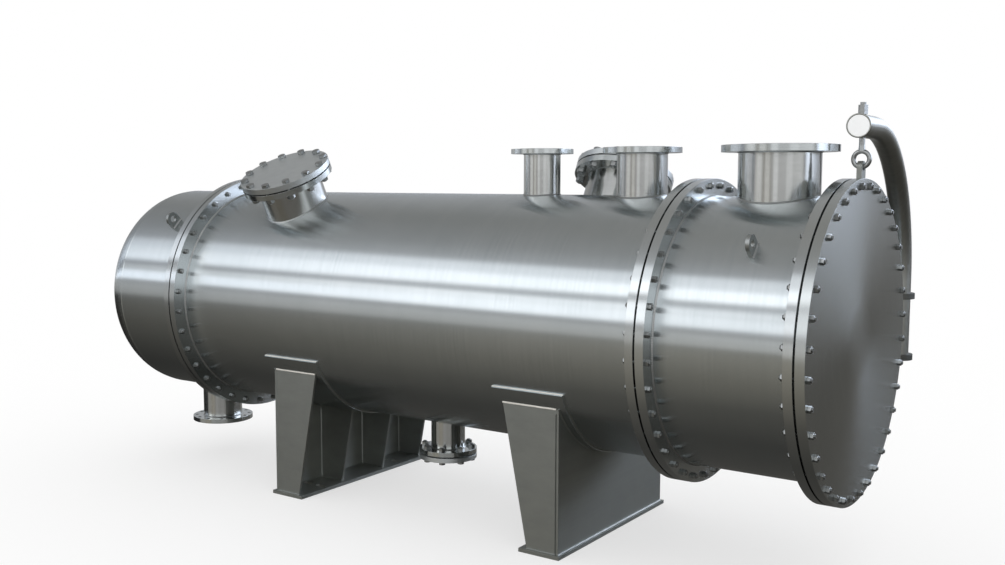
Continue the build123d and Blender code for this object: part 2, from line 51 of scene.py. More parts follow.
# %% Sizes
MM = 0.001
AXIS_Z = 945.0
SHELL_R = 562.0
BOLT_R = 607.0
BODY_BOLTS = 36
JOINTS = {"bonnet": -2175.0, "channel": 503.0, "cover": 1112.0}
SEAT = 40.0
RAISED_FACE = 2.0
BLIND_GASKET = 3.0
DN150 = {"od": 168.3, "circle": 240.0, "thick": 22.0, "count": 8}
DN200 = {"od": 219.1, "circle": 295.0, "thick": 24.0, "count": 12}
DN300 = {"od": 323.9, "circle": 410.0, "thick": 28.0, "count": 12}
NOZZLES = {
    "channel": (815.0, 0.0, 770.0, DN300),
    "inlet": (207.0, 0.0, 770.0, DN200),
    "vent": (-301.0, 0.0, 770.0, DN150),
    "rear_hand": (-60.0, -28.0, 722.0, DN300),
    "front_hand": (-1629.0, 26.0, 722.0, DN300),
    "drain": (-845.0, 180.0, 722.0, DN150),
    "bonnet": (-2507.0, 180.0, 770.0, DN200),
}
BLINDED = ("rear_hand", "front_hand", "drain")
print(len(NOZZLES), "nozzles,", len(BLINDED), "of them blinded")

# %% [markdown]
# ## Three small tools for materials
# A colour picked on a screen is sRGB, while the nodes work in linear light, so one function turns
# the hex code into linear numbers. A second one makes an empty material. A third adds a node: its
# settings go in as keywords, and its inputs as a dict, where a value that is another node's socket
# becomes a link.


# %% Colour and node tools
def linear(code):
    """The linear colour of an sRGB hex code."""
    parts = [int(code[i:i + 2], 16) / 255 for i in (1, 3, 5)]
    return tuple(c / 12.92 if c <= 0.04045 else ((c + 0.055) / 1.055) ** 2.4 for c in parts) + (1.0,)


def new_finish(name):
    """A material without nodes, and its node tree."""
    finish = bpy.data.materials.new(name)
    finish.use_nodes = True
    finish.node_tree.nodes.clear()
    return finish, finish.node_tree


def add(tree, kind, inputs=None, **settings):
    """Adds one node with its settings, and sets or links its inputs."""
    node = tree.nodes.new(kind)
    for name, value in settings.items():
        setattr(node, name, value)
    for name, value in (inputs or {}).items():
        if isinstance(value, bpy.types.NodeSocket):
            tree.links.new(value, node.inputs[name])
        else:
            node.inputs[name].default_value = value
    return node


print("mid grey", [round(c, 3) for c in linear("#808080")])

# %% [markdown]
# ## Where a finish's lines run
# Worked metal carries fine lines: a belt sander leaves them round a barrel, a lathe leaves rings on
# a flange face, a rolling mill leaves them along a plate. Each finish below needs coordinates in
# which one number runs across the lines and another along them. For barrels and faces these are
# cylinder coordinates about the shell's middle line.


# %% Coordinates across and along the lines
def lines_about_shell(tree, place):
    """Sockets in metres: along the shell, out from its middle line, and round it as an arc."""
    split = add(tree, "ShaderNodeSeparateXYZ", {0: place})
    height = add(tree, "ShaderNodeMath", {0: split.outputs[2], 1: AXIS_Z * MM}, operation="SUBTRACT")
    angle = add(tree, "ShaderNodeMath", {0: split.outputs[1], 1: height.outputs[0]}, operation="ARCTAN2")
    arc = add(tree, "ShaderNodeMath", {0: angle.outputs[0], 1: SHELL_R * MM}, operation="MULTIPLY")
    flat = add(tree, "ShaderNodeCombineXYZ", {0: split.outputs[1], 1: height.outputs[0]})
    radius = add(tree, "ShaderNodeVectorMath", {0: flat.outputs[0]}, operation="LENGTH")
    return split.outputs[0], radius.outputs["Value"], arc.outputs[0]


# %% [markdown]
# ## Stainless steel, worked in several ways
# Real stainless plate reflects a little under 60 per cent of the light, almost without tint. What
# sets one part from another is the surface: how wide it spreads a reflection (roughness), in which
# direction (anisotropy), and how even it is. A grit's scratches are near 0.1 mm apart, far too fine
# for a picture in which one pixel is 4 to 5 mm, so the lines on barrels, flanges and necks are drawn
# 7 to 9 mm wide and faint. Rolled and satin plates get wider, softer marks. A photo texture would
# carry its own light with it, so the lines are procedural noise, stretched.
#
# The smear of a reflection follows the lines round the shell's middle line. Close to that line the
# rings are too tight for it and would draw a star there, so it fades out between two radii.


# %% Worked stainless
SMEAR_NONE, SMEAR_FULL = 0.03, 0.16
BRUSH_DEPTH = 0.0004
CLOUD_SCALE = 4.5
COLOUR_FROM, COLOUR_TO = 0.7, 1.3
ROUGH_FROM, ROUGH_TO = 0.6, 1.4
QUARTER_TURN = 0.25
EDGE_SAMPLES = 4


def worked_steel(name, light, dark, roughness, spread, lines, anisotropy=0.0, across="x",
                 bump=0.1, edge_mm=0.0, tangent_axis="X"):
    """A metal whose colour, roughness and height follow stretched noise.

    lines is the (width, length) of one line in mm. across is the way from line to line: "x" along
    the shell, "r" out from its middle line, "y" or "z" straight. spread widens the roughness, and
    edge_mm rounds the edges.
    """
    finish, tree = new_finish(name)
    place = add(tree, "ShaderNodeTexCoord").outputs["Object"]
    if across in ("x", "r"):
        along_shell, radius, long = lines_about_shell(tree, place)
        wide = along_shell if across == "x" else radius
    else:
        split = add(tree, "ShaderNodeSeparateXYZ", {0: place})
        wide, long = split.outputs[across.upper()], split.outputs["X"]
    wide_n = add(tree, "ShaderNodeMath", {0: wide, 1: 1000 / lines[0]}, operation="MULTIPLY")
    long_n = add(tree, "ShaderNodeMath", {0: long, 1: 1000 / lines[1]}, operation="MULTIPLY")
    lay = add(tree, "ShaderNodeCombineXYZ", {0: wide_n.outputs[0], 1: long_n.outputs[0]})
    streak = add(tree, "ShaderNodeTexNoise",
                 {"Vector": lay.outputs[0], "Scale": 1.0, "Detail": 3.0, "Roughness": 0.6})
    cloud = add(tree, "ShaderNodeTexNoise",
                {"Vector": place, "Scale": CLOUD_SCALE, "Detail": 4.0, "Roughness": 0.55})
    both = add(tree, "ShaderNodeMath", {0: streak.outputs["Fac"], 1: cloud.outputs["Fac"]}, operation="ADD")
    share = add(tree, "ShaderNodeMapRange",
                {"Value": both.outputs[0], "From Min": COLOUR_FROM, "From Max": COLOUR_TO})
    colour = add(tree, "ShaderNodeMix", {"Factor": share.outputs[0], 6: linear(dark), 7: linear(light)},
                 data_type="RGBA")
    rough = add(tree, "ShaderNodeMapRange",
                {"Value": both.outputs[0], "From Min": ROUGH_FROM, "From Max": ROUGH_TO,
                 "To Min": roughness + spread, "To Max": roughness - spread})
    relief = add(tree, "ShaderNodeBump",
                 {"Height": streak.outputs["Fac"], "Strength": bump, "Distance": BRUSH_DEPTH})
    if edge_mm:
        worn = add(tree, "ShaderNodeBevel", {"Radius": edge_mm * MM}, samples=EDGE_SAMPLES)
        tree.links.new(worn.outputs[0], relief.inputs["Normal"])
    shader = add(tree, "ShaderNodeBsdfPrincipled",
                 {"Base Color": colour.outputs[2], "Metallic": 1.0, "Roughness": rough.outputs[0],
                  "Anisotropic": anisotropy, "Anisotropic Rotation": QUARTER_TURN,
                  "Normal": relief.outputs[0]})
    if anisotropy:
        around = add(tree, "ShaderNodeTangent", direction_type="RADIAL", axis=tangent_axis)
        tree.links.new(around.outputs[0], shader.inputs["Tangent"])
    if anisotropy and across in ("x", "r"):
        fade = add(tree, "ShaderNodeMapRange", {"Value": radius, "From Min": SMEAR_NONE,
                                                "From Max": SMEAR_FULL, "To Max": anisotropy})
        tree.links.new(fade.outputs[0], shader.inputs["Anisotropic"])
    add(tree, "ShaderNodeOutputMaterial", {"Surface": shader.outputs[0]})
    return finish


belt_ground_plate = worked_steel("belt_ground_stainless_plate", "#cbd0d1", "#c3c9ca", 0.22, 0.01, (9, 420),
                                 anisotropy=1.0, across="x", bump=0.02)
turned_flange = worked_steel("turned_stainless_flange", "#d0d4d4", "#c4c8c8", 0.2, 0.02, (7, 500),
                             anisotropy=0.9, across="r", bump=0.04, edge_mm=1.5)
turned_cover = worked_steel("turned_stainless_cover", "#c9cdcc", "#c0c4c3", 0.26, 0.01, (8, 1500),
                            anisotropy=0.75, across="r", bump=0.04, edge_mm=1.5)
pipe_steel = worked_steel("pickled_stainless_pipe", "#cbccc9", "#c1c2bf", 0.19, 0.02, (7, 60),
                          anisotropy=0.8, across="z", bump=0.02, tangent_axis="Z")
forged_flange = worked_steel("turned_stainless_nozzle_flange", "#d0d4d3", "#c4c8c7", 0.17, 0.02, (7, 90),
                             anisotropy=0.8, across="z", bump=0.02, edge_mm=1.5, tangent_axis="Z")
satin_plate = worked_steel("satin_stainless_plate", "#e0e4e4", "#d8dcdc", 0.42, 0.02, (40, 60),
                           across="y", bump=0.02, edge_mm=1.5)
mill_plate = worked_steel("hot_rolled_stainless_plate", "#a1a39e", "#979994", 0.5, 0.04, (60, 160),
                          across="z", bump=0.05, edge_mm=1.5)
davit_steel = worked_steel("dark_satin_steel_pipe", "#abaca7", "#9a9b95", 0.34, 0.04, (12, 60),
                           across="y", bump=0.05, edge_mm=1.0)
eye_steel = worked_steel("brushed_stainless_eye", "#b3b6b4", "#a4a7a5", 0.42, 0.03, (20, 40),
                         across="z", bump=0.05, edge_mm=2.0)
dark_bracket = worked_steel("scaled_dark_bracket_steel", "#6f706c", "#5c5d59", 0.5, 0.05, (14, 30),
                            across="z", bump=0.15, edge_mm=1.0)
bolt_steel = worked_steel("drawn_stainless_bolting", "#b4b6b5", "#9c9e9d", 0.33, 0.05, (4, 12),
                          across="z", bump=0.1)
weld_steel = worked_steel("brushed_weld_metal", "#b9bbba", "#a3a5a3", 0.36, 0.06, (6, 10),
                          across="y", bump=0.2)
# painted highlight: this weld's lighter colour stands in for the bright line that light draws along the wear
# plate edges and the rib tops
bright_weld = worked_steel("weld_with_painted_highlight", "#e0dcd2", "#d2cec4", 0.5, 0.05, (6, 10),
                           across="y", bump=0.1)
plate_weld = worked_steel("pickled_weld_metal", "#9fa29e", "#8c8f8a", 0.45, 0.06, (6, 10),
                          across="y", bump=0.2)
tube_steel = worked_steel("drawn_stainless_tube", "#bcbebd", "#a3a5a3", 0.3, 0.05, (6, 40),
                          across="z", bump=0.1)
print(len(bpy.data.materials), "finishes so far")

# %% [markdown]
# ## White paint on the end cap
# The plate that closes the end of the davit pipe is painted white. Paint is not a metal: its colour
# comes from under a clear gloss with the usual IOR of 1.5. Brush marks near 1 mm wide leave a faint
# waviness, drawn 3 mm wide here as bump. The function serves the gasket fibre below as well.


# %% White paint
MARKS_PER_METRE = 330.0
USUAL_IOR = 1.5


def mottled(name, dark, light, detail, bump, depth, roughness):
    """A finish that isn't metal, with a fine mottle in its colour and height. depth is in metres."""
    finish, tree = new_finish(name)
    place = add(tree, "ShaderNodeTexCoord")
    marks = add(tree, "ShaderNodeTexNoise",
                {"Vector": place.outputs["Object"], "Scale": MARKS_PER_METRE, "Detail": detail})
    colour = add(tree, "ShaderNodeMix",
                 {"Factor": marks.outputs["Fac"], 6: linear(dark), 7: linear(light)}, data_type="RGBA")
    relief = add(tree, "ShaderNodeBump",
                 {"Height": marks.outputs["Fac"], "Strength": bump, "Distance": depth})
    shader = add(tree, "ShaderNodeBsdfPrincipled",
                 {"Base Color": colour.outputs[2], "Roughness": roughness, "IOR": USUAL_IOR,
                  "Normal": relief.outputs[0]})
    add(tree, "ShaderNodeOutputMaterial", {"Surface": shader.outputs[0]})
    return finish


white_paint = mottled("brushed_white_enamel", "#f4f5f5", "#fafbfb", 3.0, 0.15, 0.0003, 0.35)
print("white paint ready")

# %% [markdown]
# ## Gasket fibre
# The joints are sealed with pressed fibre rings, of which only a thin dark edge shows between two
# flanges. Pressed fibre has no gloss to speak of: a dark colour with a fine mottle and a high
# roughness is enough. The mottle stands for fibres near 1 mm long, drawn at 3 mm so that it shows.

# %% Gasket fibre
# The same dark fibre also closes each tube bore just inside its end, where it is painted shade.
gasket_fibre = mottled("pressed_gasket_fibre_and_painted_bore_shade", "#17181a", "#2b2c2d", 2.0, 0.4, 0.0005, 0.85)
print("gasket fibre ready")

# %% [markdown]
# ## Each CAD node gets its finish
# A node keeps its shape and place. Only its material slot is filled, by name, so that a missing or
# new node is noticed at once.

# %% Finishes on the CAD nodes
FINISHES = {
    belt_ground_plate: ["shell", "bonnet", "channel_barrel", "near_wear_plate", "far_wear_plate"],
    turned_flange: ["bonnet_tubesheet", "channel_tubesheet", "bonnet_flange", "channel_inner_flange",
                    "channel_outer_flange"],
    turned_cover: ["channel_cover"],
    pipe_steel: ["channel_nozzle_neck", "shell_inlet_neck", "shell_vent_neck", "rear_hand_nozzle_neck",
                 "front_hand_nozzle_neck", "drain_neck", "bonnet_nozzle_neck"],
    forged_flange: ["channel_nozzle_flange", "shell_inlet_flange", "shell_vent_flange",
                    "rear_hand_nozzle_flange", "front_hand_nozzle_flange", "drain_flange",
                    "bonnet_nozzle_flange"],
    satin_plate: ["rear_hand_nozzle_blind", "front_hand_nozzle_blind", "drain_blind"],
    eye_steel: ["channel_lifting_eyes", "bonnet_lifting_eyes"],
    mill_plate: ["near_saddle_base", "near_saddle_web", "near_saddle_ribs", "far_saddle_base",
                 "far_saddle_web", "far_saddle_ribs", "cover_lug"],
    dark_bracket: ["davit_upper_bracket", "davit_lower_bracket"],
    davit_steel: ["davit_arm"],
    white_paint: ["davit_cap"],
    bolt_steel: ["hanger_eyebolt", "hanger_nut"],
    gasket_fibre: ["bonnet_gasket", "channel_gasket", "cover_gasket", "blind_gaskets"],
}
dressed = set()
for finish, names in FINISHES.items():
    for name in names:
        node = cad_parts[name]
        node.data.materials.clear()
        node.data.materials.append(finish)
        dressed.add(name)
print("undressed nodes:", sorted(set(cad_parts) - dressed))

# %% [markdown]
# ## Building meshes from numbers
# Studs, nuts and tube ends are one small shape repeated many times. Separate objects for each would
# be slow, so one mesh holds all copies of a kind. The helpers are: a shape turned about Z from an
# outline, a placing matrix, copies of a shape by matrices, several shapes as one, and the object
# itself. Edges flatter than an angle are shaded smooth: a small angle for bolting, whose faces are
# meant to show, and a larger one for beads and bars, which are meant to look round.


# %% Mesh helpers
CRISP, ROUND = 35, 60


def ring_faces(rings, steps):
    """Faces between one ring of points and the next, for rings of as many steps each."""
    faces = []
    for ring in range(rings - 1):
        for i in range(steps):
            j = (i + 1) % steps
            low, high = ring * steps, (ring + 1) * steps
            faces.append((low + i, low + j, high + j, high + i))
    return faces


def turned(outline, steps):
    """Points and faces of an outline of (radius, height) turned about Z."""
    angles = np.arange(steps) * 2 * math.pi / steps
    points = [(r * math.cos(a), r * math.sin(a), z) for r, z in outline for a in angles]
    return np.array(points, float), ring_faces(len(outline), steps)


def placed(origin, direction, turn=0.0):
    """A matrix that lays local Z along a direction, turned about it by an angle in degrees."""
    lay = Vector(direction).to_track_quat("Z", "Y").to_matrix().to_4x4()
    return np.array(Matrix.Translation(Vector(origin)) @ lay @ Matrix.Rotation(math.radians(turn), 4, "Z"))


def copies(shape, matrices):
    """One set of points and faces that holds the shape at every matrix."""
    points, faces = shape
    all_points, all_faces = [], []
    for number, m in enumerate(matrices):
        all_points.append(points @ m[:3, :3].T + m[:3, 3])
        start = number * len(points)
        all_faces.extend(tuple(v + start for v in face) for face in faces)
    return np.vstack(all_points), all_faces


def joined(*shapes):
    """Several sets of points and faces as one."""
    points, faces, start = [], [], 0
    for p, f in shapes:
        points.append(p)
        faces.extend(tuple(v + start for v in face) for face in f)
        start += len(p)
    return np.vstack(points), faces


def make_piece(name, shape, finish, body, smooth_below=CRISP):
    """The object itself, in metres, riding on a CAD body. smooth_below is an angle in degrees."""
    points, faces = shape
    mesh = bpy.data.meshes.new(name)
    mesh.from_pydata((points * MM).tolist(), [], faces)
    mesh.materials.append(finish)
    mesh.shade_smooth()
    mesh.set_sharp_from_angle(angle=math.radians(smooth_below))
    piece = bpy.data.objects.new(name, mesh)
    bpy.context.scene.collection.objects.link(piece)
    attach(piece, body)
    print(name, sum(len(face) - 2 for face in faces), "triangles")


# %% [markdown]
# ## Hexagon nuts and threaded studs
# A machined nut is a hexagon whose corners are cut back by a 30 degree cone, which draws the curved
# edge that the eye knows. That cone is worked out here: the outline's radius follows the hexagon
# round, and its height drops where the radius is larger than the flat. A thread is drawn as rings
# at its real pitch instead of a helix: at this size nobody can tell them apart, and it is closed.
# A nut's bore is a little smaller than its stud, so that no gap opens between the two.


# %% Nut and stud shapes
NUT_STEPS = 24
CROWN = 0.96
CONE = math.tan(math.radians(30))
STUD_STEPS = 14
THREAD_DEPTH = 0.6
THREAD_LENGTH = 24
STUD_PROUD = 5.0
THREAD_BITE = 0.4
M16 = {"flat": 24.0, "height": 13.0, "radius": 8.0, "pitch": 2.0}
M20 = {"flat": 30.0, "height": 18.0, "head": 12.5, "radius": 10.0, "pitch": 2.5}
M24 = {"flat": 36.0, "height": 21.5, "head": 15.0, "radius": 12.0, "pitch": 3.0}


def hexagon(flat, height, bore):
    """A hexagon with flats flat mm apart, standing on z = 0: a nut, or a bolt head if bore is 0."""
    half = flat / 2
    crown = CROWN * half
    points = []
    for level in range(6):
        for i in range(NUT_STEPS):
            a = i * 2 * math.pi / NUT_STEPS
            corner = half / math.cos((a % (math.pi / 3)) - math.pi / 6)
            cut = (corner - crown) * CONE
            radius, z = [(bore, 0.0), (crown, 0.0), (corner, cut), (corner, height - cut),
                         (crown, height), (bore, height)][level]
            points.append((radius * math.cos(a), radius * math.sin(a), z))
    return np.array(points, float), ring_faces(6, NUT_STEPS)


def nut(size):
    """The nut of a thread size."""
    return hexagon(size["flat"], size["height"], size["radius"] - THREAD_BITE)


def stud(size, low, high):
    """A bar from z = low to z = high, threaded at both ends and plain in its middle."""
    radius, pitch = size["radius"], size["pitch"]
    depth = THREAD_DEPTH * pitch
    root = radius - depth
    outline = [(0.0, low), (root, low)]
    z = low + depth
    while z < low + THREAD_LENGTH:
        outline += [(radius, z), (root, z + pitch / 2)]
        z += pitch
    outline.append((radius, z))
    z = high - THREAD_LENGTH
    outline.append((radius, z))
    while z < high - depth:
        outline += [(root, z + pitch / 2), (radius, z + pitch)]
        z += pitch
    outline += [(root, high), (0.0, high)]
    return turned(outline, STUD_STEPS)


print("a nut has", sum(len(f) - 2 for f in nut(M20)[1]), "triangles")

# %% [markdown]
# ## The body joints
# Thirty-six studs go through each pair of body flanges, with a nut on both sides. They sit on the
# bolt circle, the first half a step from the top, so that a gap between two studs is at the top, as
# is usual on vessels. No two nuts stop at the same angle, so each gets a turn from a seeded random
# number. The cover joint is split at its face: what is in front of it moves with the cover, and the
# front half of each stud ends a little before the split.


# %% Body joint bolting
SPLIT_GAP = 1.5
turns = random.Random(36)


def any_turn():
    """A random turn of a hexagon, in degrees."""
    return turns.uniform(0, 60)


def body_bolt_places(x, toward):
    """Matrices for every stud of a body joint, on the plane x, pointing along +X or -X."""
    found = []
    for k in range(BODY_BOLTS):
        a = math.radians(360 / BODY_BOLTS * (k + 0.5))
        spot = (x, -BOLT_R * math.sin(a), AXIS_Z + BOLT_R * math.cos(a))
        found.append(placed(spot, (toward, 0, 0), any_turn()))
    return found


body_nut = nut(M16)
past_seat = M16["height"] + STUD_PROUD
for joint in ("bonnet", "channel"):
    middle = JOINTS[joint]
    whole = stud(M16, -past_seat, 2 * SEAT + past_seat)
    shape = joined(copies(body_nut, body_bolt_places(middle + SEAT, 1)),
                   copies(body_nut, body_bolt_places(middle - SEAT, -1)),
                   copies(whole, body_bolt_places(middle - SEAT, 1)))
    make_piece(joint + "_joint_bolting", shape, bolt_steel, "exchanger")

cover_x = JOINTS["cover"]
front_stud = stud(M16, SPLIT_GAP - SEAT, past_seat)
rear_stud = stud(M16, 0.0, SEAT + past_seat)
front = joined(copies(body_nut, body_bolt_places(cover_x + SEAT, 1)),
               copies(front_stud, body_bolt_places(cover_x + SEAT, 1)))
rear = joined(copies(body_nut, body_bolt_places(cover_x - SEAT, -1)),
              copies(rear_stud, body_bolt_places(cover_x, -1)))
make_piece("cover_joint_front_bolting", front, bolt_steel, "cover_and_davit")
make_piece("cover_joint_rear_bolting", rear, bolt_steel, "exchanger")

# %% [markdown]
# ## Bolting of the blinded nozzles
# Three nozzles are closed by blind plates, with hexagon bolts: a low head on the blind, a nut under
# the flange. They run along the nozzle, so each needs the nozzle's own direction: up, leaning by its
# angle towards the front or the back. A bolt head is a hexagon too, lower and without a bore.


# %% Blind plate bolting
def nozzle_matrix(x, lean):
    """Local Z out along the nozzle from the shell's middle line, local X along the shell."""
    a = math.radians(lean)
    out = Vector((0, -math.sin(a), math.cos(a)))
    side = out.cross(Vector((1, 0, 0)))
    m = Matrix(((1, side.x, out.x, x), (0, side.y, out.y, 0), (0, side.z, out.z, AXIS_Z), (0, 0, 0, 1)))
    return np.array(m)


for name in BLINDED:
    x, lean, reach, pipe = NOZZLES[name]
    size = M24 if pipe is DN300 else M20
    seat_low = reach - RAISED_FACE - pipe["thick"]
    seat_high = reach + BLIND_GASKET + RAISED_FACE + pipe["thick"]
    head = hexagon(size["flat"], size["head"], 0.0)
    bar = stud(size, seat_low - size["height"] - STUD_PROUD, seat_high)
    base = nozzle_matrix(x, lean)
    upper, lower, bars = [], [], []
    for i in range(pipe["count"]):
        a = math.radians(360 / pipe["count"] * (i + 0.5))
        spot = (pipe["circle"] / 2 * math.cos(a), pipe["circle"] / 2 * math.sin(a))
        upper.append(base @ placed((*spot, seat_high), (0, 0, 1), any_turn()))
        lower.append(base @ placed((*spot, seat_low), (0, 0, -1), any_turn()))
        bars.append(base @ placed((*spot, 0), (0, 0, 1)))
    shape = joined(copies(head, upper), copies(nut(size), lower), copies(bar, bars))
    make_piece(name + "_bolting", shape, bolt_steel, "exchanger")

# %% [markdown]
# ## Weld beads
# A fillet weld fills the corner between two parts with a slightly hollow bead whose surface steps
# from one ripple to the next. A bead could be a bevelled curve, but a curve has a round section and
# would sink into both parts. So the bead is swept: at each point of the seam one direction
# goes along the first part and one along the second, and the section spans the corner between them.
# Ripples are near 3 mm apart on the real one. They are drawn 9 mm apart so that they show. A bead's
# leg is how far it reaches along each part, in mm. A hand also lets the bead swell and shrink
# slowly, which is the second, slower wave.


# %% Weld bead sweep
RIPPLE = 9.0
RIPPLE_SWELL = 0.12
HAND_SWELL, HAND_RATE, HAND_START = 0.06, 0.083, 1.3
SECTION = [(-0.25, -0.25), (1.0, -0.12), (0.62, 0.34), (0.34, 0.62), (-0.12, 1.0)]
GIRTH_LEG, NECK_LEG = 6, 5


def bead(points, along, up, leg, closed=True):
    """A fillet bead along a seam. along and up are unit directions at each point of it."""
    points, along, up = (np.asarray(v, float) for v in (points, along, up))
    steps = np.linalg.norm(np.diff(points, axis=0), axis=1)
    run = np.concatenate([[0.0], np.cumsum(steps)])
    swell = (1 + RIPPLE_SWELL * np.sin(run * 2 * math.pi / RIPPLE)
             + HAND_SWELL * np.sin(run * HAND_RATE + HAND_START))
    rings = [points + leg * (a * along + b * up) * (swell[:, None] if a > 0 and b > 0 else 1.0)
             for a, b in SECTION]
    count, sides = len(points), len(SECTION)
    all_points = np.stack(rings, axis=1).reshape(-1, 3)
    faces = []
    for i in range(count if closed else count - 1):
        j = (i + 1) % count
        for k in range(sides):
            n = (k + 1) % sides
            faces.append((i * sides + k, i * sides + n, j * sides + n, j * sides + k))
    if not closed:
        faces.append(tuple(range(sides)))
        faces.append(tuple((count - 1) * sides + k for k in reversed(range(sides))))
    return all_points, faces


def round_steps(radius):
    """Angles all the way round a circle, four to a ripple."""
    count = int(2 * math.pi * radius / (RIPPLE / 4))
    return np.arange(count) * 2 * math.pi / count


def bead_about_shell(x, radius, angles, toward, leg, up=1.0, closed=False):
    """A bead round the shell's middle line at x, on a plate that looks along +X or -X.

    The angles are in radians from straight up, or from straight down where up is -1.
    """
    out = np.stack([np.zeros(len(angles)), np.sin(angles), up * np.cos(angles)], axis=1)
    facing = np.tile([toward, 0.0, 0.0], (len(angles), 1))
    return bead(radius * out + np.array([x, 0, AXIS_Z]), facing, out, leg, closed)


girth_seams = [bead_about_shell(JOINTS[joint] + side * SEAT, SHELL_R, round_steps(SHELL_R), side,
                                GIRTH_LEG, closed=True)
               for joint, side in (("bonnet", -1.0), ("bonnet", 1.0), ("channel", -1.0),
                                   ("channel", 1.0), ("cover", -1.0))]
make_piece("flange_weld_beads", joined(*girth_seams), weld_steel, "exchanger", ROUND)

# %% [markdown]
# ## Nozzle welds
# Where a pipe enters a barrel, the seam is the curve in which two cylinders meet. It has a simple
# form: going round the pipe by an angle, the sideways offset gives the height on the barrel. Each
# pipe also has a round bead under its flange.


# %% Nozzle weld beads
def out_of_pipe(radius):
    """Directions out from a pipe's middle line, all the way round."""
    t = round_steps(radius)
    return np.stack([np.cos(t), np.sin(t), np.zeros(len(t))], axis=1)


def foot_bead(radius):
    """The bead round the foot of a pipe on the shell, with Z along the pipe."""
    outward = out_of_pipe(radius)
    side = radius * outward[:, 1]
    level = np.sqrt(SHELL_R ** 2 - side ** 2)
    points = np.stack([radius * outward[:, 0], side, level], axis=1)
    skin = np.stack([0 * side, side, level], axis=1) / SHELL_R
    slope = outward - skin * np.sum(outward * skin, axis=1)[:, None]
    slope /= np.linalg.norm(slope, axis=1)[:, None]
    return bead(points, slope, np.tile([0.0, 0.0, 1.0], (len(side), 1)), NECK_LEG)


def collar_bead(radius, height):
    """The round bead between a pipe and the back of its flange, at a height along the pipe."""
    outward = out_of_pipe(radius)
    down = np.tile([0.0, 0.0, -1.0], (len(outward), 1))
    return bead(outward * radius + np.array([0, 0, height]), outward, down, NECK_LEG)


neck_beads = []
for x, lean, reach, pipe in NOZZLES.values():
    base = nozzle_matrix(x, lean)
    radius = pipe["od"] / 2
    neck_beads.append(copies(foot_bead(radius), [base]))
    neck_beads.append(copies(collar_bead(radius, reach - RAISED_FACE - pipe["thick"]), [base]))
make_piece("nozzle_weld_beads", joined(*neck_beads), weld_steel, "exchanger", ROUND)

# %% [markdown]
# ## The head's butt seam
# The dished head is butt welded to the bonnet's straight skirt. On a polished vessel such a seam is
# ground until it stands less than a millimetre proud: a flat band about 14 mm wide with soft edges.
# Its outline is given as how far it stands out of the shell's surface, and where along the shell.

# %% Head seam
HEAD_SEAM_X = -2675.0
HEAD_SEAM = [(-0.5, -8), (0.3, -6), (0.6, -2), (0.6, 2), (0.3, 6), (-0.5, 8)]
HEAD_SEAM_STEPS = 180
seam_outline = [(SHELL_R + proud, along) for proud, along in HEAD_SEAM]
seam = copies(turned(seam_outline, HEAD_SEAM_STEPS), [placed((HEAD_SEAM_X, 0, AXIS_Z), (1, 0, 0))])
make_piece("head_butt_seam", seam, belt_ground_plate, "exchanger", ROUND)

# %% [markdown]
# ## Saddle and lifting eye welds
# The saddles are plate work: a wear plate welded round its edge to the shell, a web and four ribs
# under it, all on a base plate. The seams are straight lines and arcs, so a list of them is enough.
# The far saddle is the near one mirrored about the middle of its own base. Each side of the web is
# given by its x, the way it looks and half the width of the web there.

# %% Plate work weld beads
SADDLES = {"near": (0.0, 1.0), "far": (-1480.0, -1.0)}
WEAR_R, WEAR_X, WEAR_HALF_ANGLE = 572.0, (-227.0, 123.0), 64.5
WEB_RIB_SIDE_X = 75.0
WEB_SIDES = ((WEB_RIB_SIDE_X, -1.0, 466.0), (87.0, 1.0, 481.0))
RIB_Y = (-479.7, -166.0, 154.0, 467.7)
RIB_THICK, RIB_OUTER_Y = 12.0, 479.7
RIB_FOOT_X, RIB_TIP_X = -68.0, -191.0
RIB_SEAM_SHORT = 20
BASE_TOP = 16.0
WEAR_LEG, EDGE_LEG, WEB_LEG, RIB_LEG, EYE_LEG = 7, 3, 5, 4, 6
OUT_AND_DOWN = (0.9, -0.43)


def straight(start, end, along, up, leg):
    """A straight bead from one point to another."""
    start, end = np.array(start, float), np.array(end, float)
    count = max(3, int(np.linalg.norm(end - start) / (RIPPLE / 3)))
    share = np.linspace(0, 1, count)[:, None]
    return bead(start + (end - start) * share, np.tile(along, (count, 1)), np.tile(up, (count, 1)),
                leg, closed=False)


def arc_below(x, radius, half_angle, toward, leg):
    """A bead along an arc under the shell, at x, on a plate that looks along +X or -X."""
    count = int(radius * 2 * math.radians(half_angle) / (RIPPLE / 3))
    angles = np.radians(np.linspace(-half_angle, half_angle, count))
    return bead_about_shell(x, radius, angles, toward, leg, up=-1.0)


def wear_edge(x0, x1, sign):
    """The straight edge of a wear plate along the shell."""
    a = math.radians(WEAR_HALF_ANGLE) * sign
    out = np.array([0, math.sin(a), -math.cos(a)])
    away = np.array([0, math.cos(a) * sign, math.sin(a) * sign])
    edge = SHELL_R * out
    return straight(edge + np.array([x0, 0, AXIS_Z]), edge + np.array([x1, 0, AXIS_Z]), away, out, EDGE_LEG)


def rib_top(x0, x1, sign):
    """The full, rounded seam between the outer face of an end rib and the wear plate above it."""
    drop = math.sqrt(WEAR_R ** 2 - RIB_OUTER_Y ** 2)
    y, z = RIB_OUTER_Y * sign, AXIS_Z - drop
    skin = (0.0, drop / WEAR_R * sign, RIB_OUTER_Y / WEAR_R)
    return straight((x0, y, z), (x1, y, z), (0.0, OUT_AND_DOWN[0] * sign, OUT_AND_DOWN[1]), skin, WEB_LEG)
